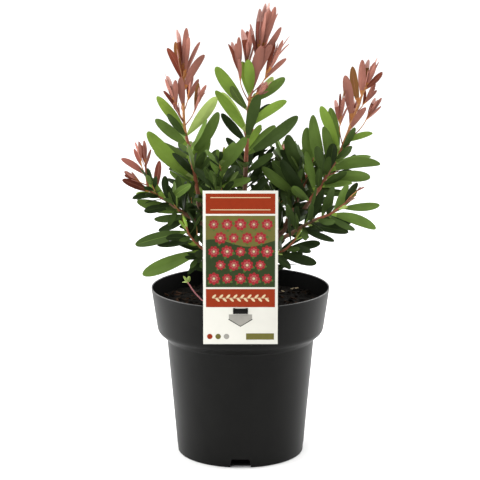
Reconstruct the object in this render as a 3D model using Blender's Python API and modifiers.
"""A young flowering shrub with long blunt leaves and red new tips, in a round black nursery pot.

Lengths are in metres, with +Z up. The origin is the middle of the pot's flat underside, and the
plant's label hangs on the rim on the -Y side. A short trunk stands on the potting mix. Boughs
leave it and end where a leafy shoot begins, and each shoot is one solid: its stem, its side
twigs and its leaves, placed by a seeded rule round the stem.
"""
import math
from collections import namedtuple
from random import Random

import bmesh
import bpy
from mathutils import Vector
from mathutils.bvhtree import BVHTree

MM = 0.001
UP = Vector((0, 0, 1))
FRONT = Vector((0, -1, 0))
GAP = 0.3 * MM

# pot
POT_HEIGHT = 190 * MM
RIM_RADIUS = 100 * MM
RIM_BEAD = 0.5 * MM
COLLAR_FOOT = 143.3 * MM
COLLAR_FOOT_RADIUS = 93.3 * MM
COLLAR_ROUNDING = (1.6 * MM, 3.4 * MM)
BODY_TOP = 131.3 * MM
BODY_TOP_RADIUS = 82.7 * MM
BODY_ROUNDING = (1 * MM, 1.6 * MM)
FOOT_RADIUS = 71 * MM
FOOT_ROUNDING = 3 * MM
WALL = 1.6 * MM
FLOOR = 2.2 * MM
POT_SIDES = 40

# drain notches round the pot's foot
NOTCHES = 4
NOTCH_TOP_WIDTH = 20 * MM
NOTCH_FOOT_WIDTH = 24 * MM
NOTCH_HEIGHT = 10 * MM
NOTCH_INNER_RADIUS = 63 * MM
NOTCH_OUTER_RADIUS = 78 * MM

# bar in front of the rim that holds the label's tongue
BAR_HALF_WIDTH = 7.7 * MM
BAR_FOOT = 183.8 * MM
BAR_FACE = 102.6 * MM
BAR_THICKNESS = 1.2 * MM
BAR_POST_WIDTH = 1.8 * MM

# label
LABEL_WIDTH = 80 * MM
LABEL_FOOT = 150 * MM
LABEL_TOP = 318 * MM
LABEL_BACK = 100.4 * MM
LABEL_THICKNESS = 0.6 * MM

# potting mix
MIX_TOP = 175 * MM
MIX_EDGE = 171 * MM
MIX_FALL = (0.9 * MM, 3.1 * MM)
MIX_SEAT_RADIUS = 14 * MM
MIX_CLEARANCE = 0.4 * MM
MIX_SIDES = 32

# trunk and boughs
TRUNK_FOOT = Vector((3, 4, 175.3)) * MM
TRUNK_STUB = 6 * MM
TRUNK_BEND = Vector((3.5, 3, 200)) * MM
TRUNK_TOP = Vector((3, 1, 232)) * MM
TRUNK_FLARE_RADIUS = 7.5 * MM
TRUNK_LOW_RADIUS = 5.6 * MM
TRUNK_TOP_RADIUS = 3.6 * MM
FLARE_SHARE = 0.2
TRUNK_STATIONS = 9
BOUGH_ROOT_RADIUS = 2.4 * MM
BOUGH_STATIONS = 7

# stems and twigs of the shoots
STEM_RADIUS = 1.5 * MM
STEM_TIP_RADIUS = 0.65 * MM
STEM_STEP = 24 * MM
TWIG_RADIUS = 0.75 * MM
TWIG_TIP_RADIUS = 0.5 * MM
TWIG_ARCH = 0.08
TWIG_LEAVES = 4
TWIG_ROOT_SHARE = 0.35

# A leaf's width is a base width and a share of its length. Past its narrow root, the outline says where
# each section stands on the leaf and its share of the full width. Facing is the most degrees that a
# blade turns from the front, and a kind with none turns its blades like the vanes of a windmill.
LeafKind = namedtuple("LeafKind", "base_width width_share outline facing")
GREEN_OUTLINE = ((0.4, 0.8), (0.8, 1.0))
RED_OUTLINE = ((0.55, 1.0),)
SHOWN_LEAF = LeafKind(3.2 * MM, 0.165, GREEN_OUTLINE, 26)
SHOWN_RED_LEAF = LeafKind(2.4 * MM, 0.15, RED_OUTLINE, 26)
FILL_LEAF = LeafKind(3.2 * MM, 0.165, GREEN_OUTLINE, 80)
TIP_LEAF = LeafKind(1.4 * MM, 0.12, RED_OUTLINE, None)
LEAF_ROOT_WIDTH = 0.9 * MM
LEAF_THICKNESS = 0.9 * MM
LEAF_BOW = 0.05
WIDTH_SPREAD = 0.1
GOLDEN_ANGLE = 137.5
VANE_TURN = 52
VANE_SPREAD = 8

# room kept round a leaf, and the part of its root that may touch its own shoot
ROOM = 0.4 * MM
ROOT_SHARE = 0.22
TIP_ROOT_SHARE = 0.3

# young leaves that close round a tip: their rise from the first to the last, and how far down they start
STEM_TIP_RISE = (24, 8)
TWIG_TIP_RISE = (20, 8)
TIP_LENGTHS = (0.82, 1.0)
TIP_SPREAD = 0.3
TIP_SINK = 0.03

# leaves in a spiral up a stem, each with a few tries at finding room
FILL_FOOT = 0.05
FILL_TRIES = 4
FILL_TRY_TURN = 40
FILL_TURN_SPREAD = 15
FILL_RISE_SPREAD = 9
FILL_LENGTHS = (0.85, 1.1)
LOWEST_TIP = POT_HEIGHT + 8 * MM

# Leafy shoots. Stem points are in mm. A leaf or twig is given by its place along the stem, from 0 to
# 1, its turn round the stem in degrees from the front towards the right, its rise from the stem's own
# line in degrees and its length in mm. A twig's last number is the length of its own leaves in mm, and
# a plainly curved leaf's is its bow as a share of its length. The fill is a spiral between these.
SHOOTS = {
    "left_leader": dict(
        seed=11, bough_root=0.8,
        stem=((-46, -22, 297), (-54, -20, 340), (-61, -19, 373), (-62, -18, 403), (-61, -17, 436)),
        leaves=((0.14, -74, 35, 75), (0.40, -54, 40, 52), (0.53, -84, 30, 48), (0.10, -106, 43, 59),
                (0.48, 67, 50, 60), (0.32, 74, 45, 59), (0.12, 116, 30, 51)),
        red_leaves=((0.83, 70, 28, 48), (0.89, -97, 27, 43), (0.70, -23, 12, 36)),
        twigs=((0.58, -48, 22, 29, 36), (0.56, 76, 37, 26, 29), (0.60, -22, 45, 15, 18),
               (0.67, 149, 28, 24, 30)),
        fill=8, fill_to=0.5, fill_length=(52, 40), fill_rise=(50, 40), tip_leaves=8, tip_length=51),
    "centre_leader": dict(
        seed=12, bough_root=1.0,
        stem=((6, -6, 330), (7, -6, 352), (8, -5, 377), (10, -4, 399), (15, -2, 428), (22, 0, 459)),
        leaves=((0.45, -74, 42, 62), (0.26, -89, 38, 59), (0.29, -117, 41, 52), (0.52, 71, 48, 49),
                (0.31, 68, 54, 55), (0.08, 76, 50, 74), (0.19, 21, 26, 63), (0.56, -28, 24, 46),
                (0.56, -123, 24, 42), (0.52, 127, 42, 41), (0.12, 130, 35, 33)),
        red_leaves=((0.59, 10, 17, 58), (0.70, 50, 20, 48)),
        twigs=((0.52, -70, 27, 38, 36), (0.61, -98, 17, 34, 40), (0.59, 81, 27, 35, 42),
               (0.56, 36, 58, 16, 22), (0.79, 165, 45, 22, 32)),
        fill=5, fill_to=0.5, fill_length=(50, 40), fill_rise=(50, 40), tip_leaves=8, tip_length=56),
    "right_leader": dict(
        seed=13, bough_root=0.66,
        stem=((76, 0, 286), (90, 2, 305), (99, 4, 322), (109, 6, 337), (115, 8, 352), (130, 12, 392),
              (139, 14, 416)),
        leaves=((0.28, 70, 53, 59, -0.08), (0.22, 61, 63, 54), (0.53, 71, 50, 34), (0.45, -87, 46, 56),
                (0.41, -105, 39, 56), (0.29, -60, 44, 53), (0.23, -79, 39, 72), (0.01, -67, 73, 63),
                (0.01, -47, 86, 39), (0.35, 14, 30, 29), (0.19, 175, 31, 46)),
        red_leaves=((0.70, -61, 34, 54), (0.84, -77, 32, 43), (0.90, -83, 20, 41), (0.95, 92, 25, 29),
                    (0.62, 42, 20, 34)),
        twigs=((0.53, 83, 22, 40, 25), (0.50, -58, 30, 34, 34), (0.56, -177, 22, 25, 30),
               (0.76, 136, 28, 21, 24)),
        fill=7, fill_to=0.5, fill_length=(50, 40), fill_rise=(52, 42), tip_leaves=6, tip_length=32),
    "low_left": dict(
        seed=14, bough_root=0.55,
        stem=((-44, -36, 270), (-61, -40, 281), (-83, -44, 298), (-98, -45, 307), (-102, -44, 321),
              (-103, -43, 339)),
        leaves=((0.23, -102, 22, 52), (0.51, -73, 21, 30), (0.46, 45, 22, 33), (0.44, 60, 96, 39),
                (0.18, -100, 43, 36), (0.33, 118, 61, 35), (0.14, 149, 44, 41), (0.30, -66, 92, 22)),
        red_leaves=((0.85, -82, 50, 33), (0.66, -77, 22, 34), (0.61, 115, 72, 38)),
        twigs=((0.84, -50, 16, 18, 26), (0.74, -72, 51, 13, 19)),
        fill=8, fill_to=0.6, fill_length=(42, 34), fill_rise=(58, 46), tip_leaves=4, tip_length=25),
    "low_right": dict(
        seed=15, bough_root=0.54,
        stem=((55, -30, 256), (77, -36, 271), (92, -39, 278), (102, -40, 283), (115, -40, 293)),
        leaves=((0.88, 90, 35, 44), (0.70, 68, 41, 54), (0.51, 116, 35, 37), (0.29, 84, 40, 48),
                (0.24, 18, 87, 30), (0.98, -89, 22, 27), (0.72, -100, 61, 30), (0.75, -152, 21, 37),
                (0.40, -134, 54, 38), (0.14, -76, 74, 33)),
        twigs=((0.98, -42, 16, 20, 12),),
        fill=8, fill_to=0.8, fill_length=(44, 36), fill_rise=(58, 48), tip_leaves=3, tip_length=14),
    "front_shoot": dict(
        seed=16, bough_root=0.7,
        stem=((-14, -44, 268), (-20, -50, 298), (-22, -51, 314), (-21, -51, 327), (-19, -50, 342)),
        leaves=((0.62, 52, 25, 54, -0.08), (0.80, 116, 32, 49), (0.61, 75, 75, 36), (0.45, -60, 20, 42),
                (0.45, 45, 103, 24)),
        fill=10, fill_to=0.95, fill_length=(46, 32), fill_rise=(60, 34), tip_leaves=3, tip_length=16),
    "mid_right": dict(
        seed=17, bough_root=0.86,
        stem=((53, 8, 266), (69, 12, 298), (75, 12, 316), (82, 12, 334)),
        leaves=((0.63, -67, 39, 60), (0.83, -65, 29, 49), (0.52, -98, 53, 49), (0.45, -67, 69, 54),
                (0.38, -75, 78, 56), (0.74, 169, 16, 40)),
        fill=9, fill_to=0.9, fill_length=(48, 36), fill_rise=(58, 36), tip_leaves=3, tip_length=18),
    "skirt_left": dict(
        seed=18, trunk_root=0.4,
        stem=((-18, -16, 226), (-34, -34, 235), (-45, -44, 246), (-55, -48, 258),
              (-59, -50, 269)),
        leaves=((0.66, -94, 65, 73), (0.50, -50, 30, 34), (0.86, -63, 47, 31), (0.94, -93, 87, 60)),
        fill=11, fill_to=0.95, fill_length=(48, 36), fill_rise=(70, 50), tip_leaves=3, tip_length=18),
    "skirt_right": dict(
        seed=19, trunk_root=0.33,
        stem=((22, -18, 211), (38, -32, 234), (50, -42, 242), (61, -46, 255)),
        leaves=((0.66, 100, 52, 46), (0.80, 76, 22, 19), (0.53, -125, 36, 37)),
        fill=11, fill_to=0.95, fill_length=(44, 34), fill_rise=(70, 50), tip_leaves=3, tip_length=16),
    "back_left": dict(
        seed=20, bough_root=0.64,
        stem=((-30, 34, 262), (-42, 50, 286), (-50, 60, 304), (-52, 64, 318)),
        twigs=((0.90, -150, 25, 14, 17), (0.85, 150, 30, 14, 17)),
        fill=21, fill_to=0.95, fill_length=(52, 40), fill_rise=(60, 34), tip_leaves=4, tip_length=22),
    "back_right": dict(
        seed=21, bough_root=0.55,
        stem=((34, 36, 262), (46, 54, 286), (52, 64, 306), (54, 68, 320)),
        twigs=((0.90, -150, 25, 14, 17), (0.85, 150, 30, 14, 17)),
        fill=21, fill_to=0.95, fill_length=(52, 40), fill_rise=(60, 34), tip_leaves=4, tip_length=22),
    "back_centre": dict(
        seed=22, bough_root=0.8,
        stem=((4, 34, 282), (6, 42, 306), (8, 46, 328), (9, 47, 344)),
        twigs=((0.90, -150, 25, 14, 17), (0.85, 150, 30, 14, 17)),
        fill=18, fill_to=0.95, fill_length=(44, 34), fill_rise=(54, 30), tip_leaves=4, tip_length=22),
    "back_low": dict(
        seed=23, trunk_root=0.44,
        stem=((4, 34, 222), (4, 60, 240), (3, 78, 258)),
        fill=22, fill_to=0.95, fill_length=(54, 40), fill_rise=(68, 46), tip_leaves=3, tip_length=20),
}


def clear_scene():
    for thing in list(bpy.data.objects):
        bpy.data.objects.remove(thing, do_unlink=True)


def new_collection(name):
    collection = bpy.data.collections.new(name)
    bpy.context.scene.collection.children.link(collection)
    return collection


def material(name, colour, roughness):
    made = bpy.data.materials.new(name)
    made.use_nodes = True
    shader = made.node_tree.nodes["Principled BSDF"]
    shader.inputs["Base Color"].default_value = (*colour, 1)
    shader.inputs["Roughness"].default_value = roughness
    made.diffuse_color = (*colour, 1)
    return made


def link(name, mesh, collection, finish=None):
    made = bpy.data.objects.new(name, mesh)
    collection.objects.link(made)
    if finish:
        mesh.materials.append(finish)
    return made


def mesh_from(name, corners, faces):
    mesh = bpy.data.meshes.new(name)
    mesh.from_pydata(corners, [], faces)
    mesh.update()
    return mesh


def hide_helper(helper):
    helper.hide_render = True
    helper.display_type = "WIRE"


def evaluated_mesh(thing):
    graph = bpy.context.evaluated_depsgraph_get()
    return bpy.data.meshes.new_from_object(thing.evaluated_get(graph))


def apply_modifiers(thing):
    made = evaluated_mesh(thing)
    thing.modifiers.clear()
    thing.data = made


def cut(thing, cutters, operation="DIFFERENCE"):
    change = thing.modifiers.new(operation.lower(), "BOOLEAN")
    change.operand_type = "COLLECTION"
    change.collection = cutters
    change.operation = operation
    change.solver = "EXACT"


def turned(name, outline, sides, collection, finish):
    """A closed outline of (radius, height) points turned round Z. Its side on the axis is left out."""
    corners = [(radius, 0, height) for radius, height in outline]
    pairs = [(index, (index + 1) % len(corners)) for index in range(len(corners))]
    edges = [(start, end) for start, end in pairs if corners[start][0] > 0 or corners[end][0] > 0]
    mesh = bpy.data.meshes.new(name)
    mesh.from_pydata(corners, edges, [])
    made = link(name, mesh, collection, finish)
    screw = made.modifiers.new("turn", "SCREW")
    screw.steps = screw.render_steps = sides
    screw.use_merge_vertices = True
    screw.merge_threshold = 0.00001
    screw.use_normal_calculate = True
    return made


def box(name, low, high, collection, finish=None):
    """A box between two corners, as a cube that is moved and stretched in its mesh."""
    grid = bmesh.new()
    bmesh.ops.create_cube(grid, size=1)
    for corner in grid.verts:
        corner.co = Vector([(a + b) / 2 + (b - a) * c for a, b, c in zip(low, high, corner.co)])
    mesh = bpy.data.meshes.new(name)
    grid.to_mesh(mesh)
    grid.free()
    return link(name, mesh, collection, finish)


# pot

def pot_side():
    """Outside of the pot's wall from the rim down to its foot."""
    collar_in, collar_down = COLLAR_ROUNDING
    body_out, body_up = BODY_ROUNDING
    return [
        Vector((RIM_RADIUS, POT_HEIGHT - RIM_BEAD)),
        Vector((COLLAR_FOOT_RADIUS, COLLAR_FOOT)),
        Vector((COLLAR_FOOT_RADIUS - collar_in, COLLAR_FOOT - collar_down)),
        Vector((BODY_TOP_RADIUS + body_out, BODY_TOP + body_up)),
        Vector((BODY_TOP_RADIUS, BODY_TOP)),
        Vector((FOOT_RADIUS, FOOT_ROUNDING)),
    ]


def inset(side, depth):
    """The points of the pot's side moved in by a depth, square to the wall."""
    slopes = [(low - high).normalized() for high, low in zip(side, side[1:])]
    inward = [Vector((slope.y, -slope.x)) for slope in slopes]
    moved = []
    for point, above, below in zip(side, [inward[0], *inward], [*inward, inward[-1]]):
        moved.append(point + depth * (above + below) / (1 + above.dot(below)))
    return moved


def pot_outline():
    side = pot_side()
    return [
        *side,
        (FOOT_RADIUS - FOOT_ROUNDING, 0),
        (0, 0),
        (0, FLOOR),
        (FOOT_RADIUS - WALL, FLOOR),
        *inset(side, WALL)[-2::-1],
        (RIM_RADIUS - WALL / 2, POT_HEIGHT),
    ]


def add_notch_cutters(collection):
    """Wedges that open the foot of the wall, wider at the ground."""
    for index in range(NOTCHES):
        angle = 2 * math.pi * index / NOTCHES
        across = Vector((math.cos(angle), math.sin(angle), 0))
        out = Vector((math.sin(angle), -math.cos(angle), 0))
        corners = []
        for reach in (NOTCH_INNER_RADIUS, NOTCH_OUTER_RADIUS):
            for half, height in ((NOTCH_FOOT_WIDTH / 2, -FLOOR), (NOTCH_TOP_WIDTH / 2, NOTCH_HEIGHT)):
                for side in (-1, 1):
                    corners.append(out * reach + across * side * half + UP * height)
        faces = ((0, 1, 3, 2), (4, 6, 7, 5), (0, 4, 5, 1), (2, 3, 7, 6), (0, 2, 6, 4), (1, 5, 7, 3))
        cutter = link(f"notch_cutter_{index}", mesh_from("notch_cutter", corners, faces), collection)
        face_out(cutter.data)
        hide_helper(cutter)


def face_out(mesh):
    grid = bmesh.new()
    grid.from_mesh(mesh)
    bmesh.ops.recalc_face_normals(grid, faces=grid.faces)
    grid.to_mesh(mesh)
    grid.free()


def add_bar(collection):
    """Two posts on the rim and the bar between them."""
    post_root = RIM_RADIUS - WALL * 0.6
    bar_top = POT_HEIGHT - RIM_BEAD
    for side in (-1, 1):
        edges = sorted((side * BAR_HALF_WIDTH, side * (BAR_HALF_WIDTH - BAR_POST_WIDTH)))
        post = box(f"bar_post_{side}", (edges[0], -BAR_FACE + BAR_THICKNESS / 2, BAR_FOOT),
                   (edges[1], -post_root, bar_top), collection)
        hide_helper(post)
    bar = box("bar", (-BAR_HALF_WIDTH, -BAR_FACE, BAR_FOOT),
              (BAR_HALF_WIDTH, -BAR_FACE + BAR_THICKNESS, bar_top), collection)
    hide_helper(bar)


def make_pot(parts, helpers):
    finish = material("black_pot_plastic", (0.035, 0.035, 0.036), 0.45)
    pot = turned("pot", pot_outline(), POT_SIDES, parts, finish)
    add_notch_cutters(helpers["notches"])
    cut(pot, helpers["notches"])
    add_bar(helpers["bar"])
    cut(pot, helpers["bar"], "UNION")
    apply_modifiers(pot)
    return pot


def make_potting_mix(parts):
    """Potting mix that fills the pot, with a low mound and a flat seat for the trunk."""
    finish = material("potting_mix", (0.030, 0.020, 0.014), 0.95)
    lining = inset(pot_side(), WALL + MIX_CLEARANCE)
    top, foot = lining[0], lining[1]
    edge_radius = top.x + (foot.x - top.x) * (top.y - MIX_EDGE) / (top.y - foot.y)
    outline = [
        (0, MIX_TOP),
        (MIX_SEAT_RADIUS, MIX_TOP),
        (edge_radius * 0.55, MIX_TOP - MIX_FALL[0]),
        (edge_radius * 0.93, MIX_TOP - MIX_FALL[1]),
        (edge_radius, MIX_EDGE),
        *lining[1:-1],
        (FOOT_RADIUS - WALL - MIX_CLEARANCE, FLOOR + MIX_CLEARANCE),
        (0, FLOOR + MIX_CLEARANCE),
    ]
    return turned("potting_mix", outline, MIX_SIDES, parts, finish)


def make_label(parts, helpers):
    """A card with two windows, whose neck between them passes behind the pot's bar."""
    finish = material("printed_card", (0.70, 0.69, 0.64), 0.5)
    label = box("label", (-LABEL_WIDTH / 2, -LABEL_BACK - LABEL_THICKNESS, LABEL_FOOT),
                (LABEL_WIDTH / 2, -LABEL_BACK, LABEL_TOP), parts, finish)
    for side in (-1, 1):
        edges = sorted((side * (BAR_HALF_WIDTH + GAP), side * (BAR_HALF_WIDTH - BAR_POST_WIDTH - GAP)))
        window = box(f"window_{side}", (edges[0], -BAR_FACE, BAR_FOOT - GAP),
                     (edges[1], -RIM_RADIUS, POT_HEIGHT - RIM_BEAD + GAP), helpers["windows"])
        hide_helper(window)
    cut(label, helpers["windows"])
    apply_modifiers(label)
    return label


# lines

class Line:
    """A smooth line through a few points, read by its share of the whole length."""

    def __init__(self, points, steps=10):
        knots = [Vector(point) for point in points]
        padded = [2 * knots[0] - knots[1], *knots, 2 * knots[-1] - knots[-2]]
        self.points = [knots[0]]
        for before, start, end, after in zip(padded, padded[1:], padded[2:], padded[3:]):
            for step in range(1, steps + 1):
                t = step / steps
                self.points.append(0.5 * (2 * start + (end - before) * t
                                          + (2 * before - 5 * start + 4 * end - after) * t ** 2
                                          + (3 * start - before - 3 * end + after) * t ** 3))
        self.reach = [0.0]
        for start, end in zip(self.points, self.points[1:]):
            self.reach.append(self.reach[-1] + (end - start).length)
        self.length = self.reach[-1]

    def at(self, share):
        target = min(max(share, 0), 1) * self.length
        index = 1
        while index < len(self.reach) - 1 and self.reach[index] < target:
            index += 1
        low, high = self.reach[index - 1], self.reach[index]
        return self.points[index - 1].lerp(self.points[index], (target - low) / (high - low))

    def along(self, share):
        step = 0.02
        return (self.at(min(share + step, 1)) - self.at(max(share - step, 0))).normalized()


def outward(along, turn):
    """The direction square to a line, turned in degrees from the front towards the right."""
    front = (FRONT - FRONT.dot(along) * along).normalized()
    turn = math.radians(turn)
    return math.cos(turn) * front + math.sin(turn) * along.cross(front)


def blend(start, end, share):
    return start + (end - start) * share


def tube(line, sides, stations, root_radius, tip_radius, swell=0.0, start=0.0):
    """Corners and faces of a tapering stem with flat ends."""
    corners = []
    faces = []
    for station in range(stations):
        share = blend(start, 1, station / (stations - 1))
        radius = blend(root_radius, tip_radius, share) + swell
        for side in range(sides):
            corners.append(line.at(share) + radius * outward(line.along(share), 360 * side / sides))
    for low in range(0, (stations - 1) * sides, sides):
        for near in range(sides):
            far = (near + 1) % sides
            faces.append((low + near, low + far, low + sides + far, low + sides + near))
    faces.append(tuple(reversed(range(sides))))
    faces.append(tuple(range((stations - 1) * sides, stations * sides)))
    return corners, faces


def stem_shape(line):
    return tube(line, 3, 3 + round(line.length / STEM_STEP), STEM_RADIUS, STEM_TIP_RADIUS)


def twig_shape(line, swell=0.0, start=0.0):
    return tube(line, 3, 3, TWIG_RADIUS, TWIG_TIP_RADIUS, swell, start)


# leaves

class Leaf:
    """A flat narrow blade that leaves a stem at a rise, with a bow along its length."""

    def __init__(self, random, kind, base, along, turn, rise, length, bow=None):
        out = outward(along, turn)
        rise = math.radians(rise)
        self.kind = kind
        self.base = base
        self.length = length
        self.axis = math.cos(rise) * along + math.sin(rise) * out
        if kind.facing is None:
            level = along.cross(out)
            spin = math.radians(VANE_TURN + random.uniform(-VANE_SPREAD, VANE_SPREAD))
        else:
            level = self.axis.cross(FRONT).normalized()
            spin = math.radians(random.uniform(-kind.facing, kind.facing))
        self.across = math.cos(spin) * level + math.sin(spin) * level.cross(self.axis)
        self.normal = self.across.cross(self.axis)
        self.width = kind.base_width + kind.width_share * length
        self.width *= random.uniform(1 - WIDTH_SPREAD, 1 + WIDTH_SPREAD)
        if bow is None:
            bow = random.uniform(-LEAF_BOW, LEAF_BOW)
        arch = (out - out.dot(self.axis) * self.axis).normalized()
        self.bow = 4 * length * bow * arch

    def middle(self, share):
        return self.base + self.length * share * self.axis + share * (1 - share) * self.bow

    def solid(self, swell=0.0, start=0.0):
        """Corners and faces of the blade: sections with a keel under the midrib, ending in a point."""
        first_share, first_width = self.kind.outline[0]
        root_width = blend(LEAF_ROOT_WIDTH / self.width, first_width, start / first_share)
        sections = ((start, root_width), *self.kind.outline)
        corners = []
        for share, width in sections:
            across = (self.width * width / 2 + 2 * swell) * self.across
            face = self.middle(share) + (LEAF_THICKNESS / 3 + swell) * self.normal
            keel = self.middle(share) - (LEAF_THICKNESS * 2 / 3 + 2 * swell) * self.normal
            corners += [face - across, keel, face + across]
        corners.append(self.middle(1) + 2 * swell * self.axis)
        last = 3 * (len(sections) - 1)
        faces = [(2, 1, 0)]
        for near in range(3):
            far = (near + 1) % 3
            for low in range(0, last, 3):
                faces.append((low + near, low + far, low + 3 + far, low + 3 + near))
            faces.append((last + near, last + far, last + 3))
        return corners, faces


# solids that stay clear of one another

class Solid:
    """Corners and faces with a search tree, and a ball round them for a quick first test."""

    def __init__(self, corners, faces):
        self.tree = BVHTree.FromPolygons(corners, faces)
        self.middle = sum(corners, Vector()) / len(corners)
        self.radius = max((corner - self.middle).length for corner in corners)

    def touches(self, other):
        if (self.middle - other.middle).length > self.radius + other.radius:
            return False
        return bool(self.tree.overlap(other.tree))


class Crowd:
    """Everything placed so far, by the name of the node that it belongs to."""

    def __init__(self):
        self.placed = {}

    def add(self, name, solid):
        self.placed.setdefault(name, []).append(solid)

    def add_object(self, thing):
        corners = [corner.co for corner in thing.data.vertices]
        self.add(thing.name, Solid(corners, [tuple(face.vertices) for face in thing.data.polygons]))

    def is_free(self, name, whole, beyond_root):
        for owner, solids in self.placed.items():
            tested = beyond_root if owner == name else whole
            if any(tested.touches(solid) for solid in solids):
                return False
        return True


# shoots

class Shoot:
    """One leafy shoot: a stem, its side twigs and the leaves that found room."""

    def __init__(self, name, sizes, crowd):
        self.name = name
        self.sizes = sizes
        self.crowd = crowd
        self.random = Random(sizes["seed"])
        self.line = stem_line(sizes)
        self.twigs = []
        self.leaves = []
        crowd.add(name, Solid(*stem_shape(self.line)))

    def offer(self, leaf, root_share=ROOT_SHARE):
        """Keep a leaf where it has room."""
        whole = Solid(*leaf.solid(ROOM))
        beyond_root = Solid(*leaf.solid(ROOM / 2, root_share))
        if not self.crowd.is_free(self.name, whole, beyond_root):
            return False
        self.crowd.add(self.name, Solid(*leaf.solid()))
        self.leaves.append(leaf)
        return True

    def grow_shown(self):
        """The twigs and the large leaves that have a place of their own."""
        for place, turn, rise, length, reach in self.sizes.get("twigs", ()):
            self.add_twig(place, turn, rise, length * MM, reach * MM)
        for kind, rows in ((SHOWN_LEAF, "leaves"), (SHOWN_RED_LEAF, "red_leaves")):
            for place, turn, rise, length, *bow in self.sizes.get(rows, ()):
                foot, along = self.line.at(place), self.line.along(place)
                self.offer(Leaf(self.random, kind, foot, along, turn, rise, length * MM, *bow))

    def add_twig(self, place, turn, rise, length, reach):
        """A young twig that leaves the stem and turns up beside it."""
        foot, along = self.line.at(place), self.line.along(place)
        out = outward(along, turn)
        lean = math.radians(rise)
        tip = foot + length * (math.cos(lean) * along + math.sin(lean) * out)
        elbow = foot.lerp(tip, 0.5) + TWIG_ARCH * length * out
        twig = Line([foot, elbow, tip], 4)
        whole = Solid(*twig_shape(twig, ROOM))
        beyond_root = Solid(*twig_shape(twig, ROOM / 2, TWIG_ROOT_SHARE))
        if self.crowd.is_free(self.name, whole, beyond_root):
            self.crowd.add(self.name, Solid(*twig_shape(twig)))
            self.twigs.append((twig, reach))

    def grow_tips(self):
        """Narrow young leaves closed round the stem's tip and each twig's tip."""
        self.close_round(self.line, self.sizes["tip_leaves"], self.sizes["tip_length"] * MM, STEM_TIP_RISE)
        for twig, reach in self.twigs:
            self.close_round(twig, TWIG_LEAVES, reach, TWIG_TIP_RISE)

    def close_round(self, line, count, length, rises):
        start = self.random.uniform(0, 360)
        for index in range(count):
            share = index / max(count - 1, 1)
            reach = length * blend(*TIP_LENGTHS, share) * self.random.uniform(0.9, 1.1)
            base = line.at(1) - (TIP_SINK + (1 - share) * TIP_SPREAD) * length * line.along(1)
            leaf = Leaf(self.random, TIP_LEAF, base, line.along(1), start + index * GOLDEN_ANGLE,
                        blend(*rises, share), reach)
            self.offer(leaf, TIP_ROOT_SHARE)

    def grow_fill(self):
        """Leaves in a spiral up the stem, each one where it has room."""
        start = self.random.uniform(0, 360)
        for index in range(self.sizes["fill"]):
            share = (index + 0.5) / self.sizes["fill"]
            self.add_fill(start + index * GOLDEN_ANGLE, share)

    def add_fill(self, turn, share):
        place = blend(FILL_FOOT, self.sizes["fill_to"], share)
        for attempt in range(FILL_TRIES):
            turned_by = attempt * FILL_TRY_TURN + self.random.uniform(-FILL_TURN_SPREAD, FILL_TURN_SPREAD)
            rise = blend(*self.sizes["fill_rise"], share)
            rise += self.random.uniform(-FILL_RISE_SPREAD, FILL_RISE_SPREAD)
            length = blend(*self.sizes["fill_length"], share) * self.random.uniform(*FILL_LENGTHS) * MM
            leaf = Leaf(self.random, FILL_LEAF, self.line.at(place), self.line.along(place),
                        turn + turned_by, rise, length)
            if leaf.middle(1).z > LOWEST_TIP and self.offer(leaf):
                return

    def build(self, parts, finish):
        """The stem as a node, with its twigs and leaves joined to it in one union."""
        stem = link(self.name, mesh_from(self.name, *stem_shape(self.line)), parts, finish)
        pieces = new_collection(f"{self.name}_pieces")
        for twig, _ in self.twigs:
            hide_helper(link(f"{self.name}_twig", mesh_from("twig", *twig_shape(twig)), pieces))
        for leaf in self.leaves:
            hide_helper(link(f"{self.name}_leaf", mesh_from("leaf", *leaf.solid()), pieces))
        cut(stem, pieces, "UNION")
        apply_modifiers(stem)
        for piece in list(pieces.objects):
            bpy.data.objects.remove(piece, do_unlink=True)
        bpy.data.collections.remove(pieces)
        keep_largest_shell(stem)
        return stem


def keep_largest_shell(thing):
    """Drop loose scraps and the walls of any hollow that a union sealed."""
    grid = bmesh.new()
    grid.from_mesh(thing.data)
    left = set(grid.verts)
    shells = []
    while left:
        shell = set()
        edge = [left.pop()]
        while edge:
            corner = edge.pop()
            shell.add(corner)
            reached = {side.other_vert(corner) for side in corner.link_edges} & left
            left -= reached
            edge.extend(reached)
        shells.append(shell)
    largest = max(shells, key=len)
    loose = [corner for corner in grid.verts if corner not in largest]
    bmesh.ops.delete(grid, geom=loose, context="VERTS")
    grid.to_mesh(thing.data)
    grid.free()


# limbs

def limb(name, line, radius_at, stations, resolution, collection, finish=None):
    """A tapering limb: a bevelled curve with filled ends, made into a closed mesh."""
    curve = bpy.data.curves.new(name, "CURVE")
    curve.dimensions = "3D"
    curve.bevel_depth = 1
    curve.bevel_resolution = resolution
    curve.use_fill_caps = True
    spline = curve.splines.new("POLY")
    spline.points.add(stations - 1)
    for index, point in enumerate(spline.points):
        share = index / (stations - 1)
        point.co = (*line.at(share), 1)
        point.radius = radius_at(share)
    guide = link(f"{name}_curve", curve, collection)
    mesh = evaluated_mesh(guide)
    bpy.data.objects.remove(guide, do_unlink=True)
    grid = bmesh.new()
    grid.from_mesh(mesh)
    bmesh.ops.remove_doubles(grid, verts=grid.verts, dist=0.000001)
    grid.to_mesh(mesh)
    grid.free()
    face_out(mesh)
    mesh.name = name
    return link(name, mesh, collection, finish)


def trunk_line():
    return Line([TRUNK_FOOT, TRUNK_FOOT + TRUNK_STUB * UP, TRUNK_BEND, TRUNK_TOP])


def trunk_radius(share):
    """Root flare at the foot, then an even taper."""
    flare = (TRUNK_FLARE_RADIUS - TRUNK_LOW_RADIUS) * max(0, 1 - share / FLARE_SHARE) ** 2
    return blend(TRUNK_LOW_RADIUS, TRUNK_TOP_RADIUS, share) + flare


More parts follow.
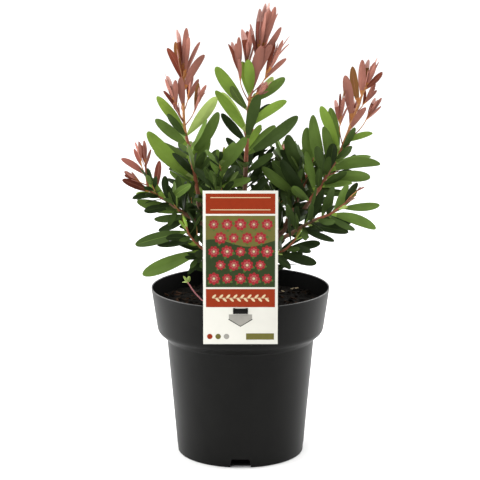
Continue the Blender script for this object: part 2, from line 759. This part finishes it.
def make_trunk(parts, helpers, finish):
    """The trunk, and a slightly thicker one that cuts the boughs' roots clear of it."""
    room = limb("trunk_room", trunk_line(), lambda share: trunk_radius(share) + GAP,
                TRUNK_STATIONS, 2, helpers["trunk_room"])
    hide_helper(room)
    return limb("trunk", trunk_line(), trunk_radius, TRUNK_STATIONS, 2, parts, finish)


def stem_line(sizes):
    """A shoot's own stem. One that has no bough starts just clear of the trunk's side."""
    points = [Vector(point) * MM for point in sizes["stem"]]
    if "trunk_root" in sizes:
        root = trunk_line().at(sizes["trunk_root"])
        way = points[0] - root
        level = (way - way.dot(UP) * UP).normalized()
        clearance = trunk_radius(sizes["trunk_root"]) + GAP + STEM_RADIUS * way.normalized().dot(UP)
        points.insert(0, root + clearance * level)
    return Line(points)


def bough_line(sizes):
    """From inside the trunk, or just above its tip, to just short of the shoot's stem, in line with it."""
    stem = stem_line(sizes)
    end = stem.at(0) - GAP * stem.along(0)
    root = trunk_line().at(sizes["bough_root"])
    if sizes["bough_root"] == 1:
        root += GAP * trunk_line().along(1)
    knee = root.lerp(end, 0.35)
    if sizes["bough_root"] < 1:
        knee -= 0.05 * (end - root).length * UP
    approach = end - 0.22 * (end - knee).length * stem.along(0)
    return Line([root, knee, approach, end])


def make_bough(name, sizes, parts, helpers, finish):
    bough = limb(name, bough_line(sizes), lambda share: blend(BOUGH_ROOT_RADIUS, STEM_RADIUS, share),
                 BOUGH_STATIONS, 1, parts, finish)
    if sizes["bough_root"] < 1:
        cut(bough, helpers["trunk_room"])
        apply_modifiers(bough)
        keep_largest_shell(bough)
    return bough


def main():
    clear_scene()
    parts = new_collection("potted_shrub")
    helpers = {name: new_collection(name) for name in ("notches", "bar", "windows", "trunk_room")}
    bark = material("bark", (0.20, 0.085, 0.05), 0.7)
    foliage = material("foliage", (0.12, 0.22, 0.05), 0.45)
    crowd = Crowd()
    crowd.add_object(make_pot(parts, helpers))
    crowd.add_object(make_label(parts, helpers))
    crowd.add_object(make_trunk(parts, helpers, bark))
    make_potting_mix(parts)
    for name, sizes in SHOOTS.items():
        if "bough_root" in sizes:
            crowd.add_object(make_bough(f"bough_{name}", sizes, parts, helpers, bark))
    shoots = [Shoot(name, sizes, crowd) for name, sizes in SHOOTS.items()]
    for shoot in shoots:
        shoot.grow_shown()
    for shoot in shoots:
        shoot.grow_tips()
    for shoot in shoots:
        shoot.grow_fill()
    for shoot in shoots:
        shoot.build(parts, foliage)
    return shoots


if __name__ == "__main__":
    main()
